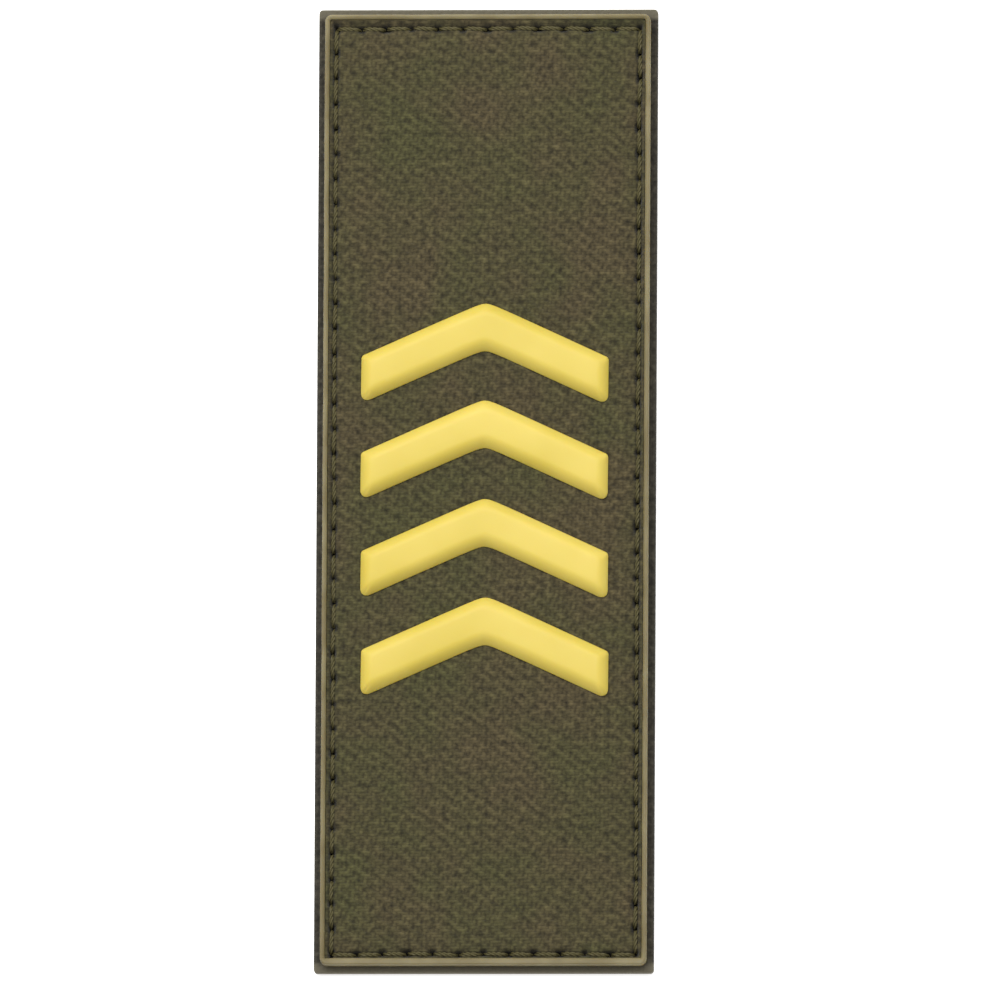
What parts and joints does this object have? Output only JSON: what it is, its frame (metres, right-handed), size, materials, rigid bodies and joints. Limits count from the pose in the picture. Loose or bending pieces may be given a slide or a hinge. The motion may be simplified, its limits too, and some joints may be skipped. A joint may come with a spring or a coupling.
{
  "type": "rank insignia",
  "caption": "Narrow upright panel of olive twill cloth on a dark backing, with a pale raised edge bead, a sewn border and a row of raised yellow chevrons.",
  "frame": {"origin": "the middle of the flat back, on the surface that the insignia lies on", "axes": "+Y along the length, the way the chevrons point; +X across the width; +Z out of the front"},
  "size_m": [0.035, 0.1, 0.0035],
  "materials": {
    "backing_cloth": "close dark olive cloth",
    "bead_vinyl": "smooth satin khaki vinyl",
    "face_twill": "olive twill with fine diagonal ribs, matte",
    "chevron_vinyl": "smooth satin yellow vinyl"
  },
  "bodies": {
    "root": {"backing": "backing_cloth", "edge_bead": "bead_vinyl", "face_panel": "face_twill", "chevron_1": "chevron_vinyl", "chevron_2": "chevron_vinyl", "chevron_3": "chevron_vinyl", "chevron_4": "chevron_vinyl"}
  },
  "joints": []
}
